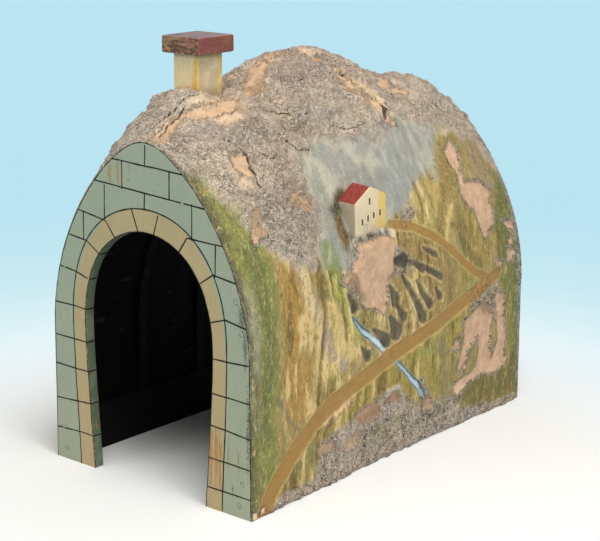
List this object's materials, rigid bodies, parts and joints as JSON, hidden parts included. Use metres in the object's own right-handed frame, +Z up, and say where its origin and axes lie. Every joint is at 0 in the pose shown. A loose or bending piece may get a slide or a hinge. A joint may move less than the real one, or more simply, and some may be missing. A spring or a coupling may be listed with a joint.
{
  "type": "toy railway tunnel",
  "caption": "Free-standing toy railway tunnel: wooden arched portals joined by battens, lined, under a painted mountain with a chimney and a small house.",
  "frame": {"origin": "centre of the footprint, on the surface that the tunnel stands on", "axes": "+Y runs through the tunnel from the front portal to the rear portal, +X to the right seen from the front, +Z up"},
  "size_m": [0.15, 0.27, 0.246],
  "materials": {
    "portal_paint": "satin grey-green and beige oil paint over wood, masonry courses painted in dark lines",
    "bare_wood": "sawn softwood, stained dark",
    "black_lining": "stiff cloth and paper lining painted matt black",
    "hoop_strip": "bent tin strip painted black",
    "mountain_skin": "papier-mache crust, rough and hand painted in greens, ochres, greys and tans",
    "stack_paint": "cream and yellow paint over wood",
    "cap_paint": "worn red-brown paint over wood",
    "house_paint": "cream paint with a red roof over wood",
    "nail_steel": "dull wire nails, heads painted over"
  },
  "bodies": {
    "root": {"front_portal": "portal_paint", "rear_portal": "portal_paint", "left_base_rail": "bare_wood", "left_side_batten": "bare_wood", "left_shoulder_batten": "bare_wood", "right_base_rail": "bare_wood", "right_side_batten": "bare_wood", "right_shoulder_batten": "bare_wood", "ridge_board": "bare_wood", "tunnel_lining": "black_lining", "lining_hoop_1": "hoop_strip", "lining_hoop_2": "hoop_strip", "lining_hoop_3": "hoop_strip", "lining_hoop_4": "hoop_strip", "mountain_shell": "mountain_skin", "chimney_stack": "stack_paint", "chimney_cap": "cap_paint", "house_block": "house_paint", "front_right_rail_nail_lower": "nail_steel", "front_right_rail_nail_upper": "nail_steel", "front_right_side_nail_lower": "nail_steel", "front_right_side_nail_upper": "nail_steel", "front_right_shoulder_nail": "nail_steel", "front_right_ridge_nail": "nail_steel", "front_left_rail_nail_lower": "nail_steel", "front_left_rail_nail_upper": "nail_steel", "front_left_side_nail_lower": "nail_steel", "front_left_side_nail_upper": "nail_steel", "front_left_shoulder_nail": "nail_steel", "front_left_ridge_nail": "nail_steel", "rear_right_rail_nail_lower": "nail_steel", "rear_right_rail_nail_upper": "nail_steel", "rear_right_side_nail_lower": "nail_steel", "rear_right_side_nail_upper": "nail_steel", "rear_right_shoulder_nail": "nail_steel", "rear_right_ridge_nail": "nail_steel", "rear_left_rail_nail_lower": "nail_steel", "rear_left_rail_nail_upper": "nail_steel", "rear_left_side_nail_lower": "nail_steel", "rear_left_side_nail_upper": "nail_steel", "rear_left_shoulder_nail": "nail_steel", "rear_left_ridge_nail": "nail_steel"}
  },
  "joints": []
}
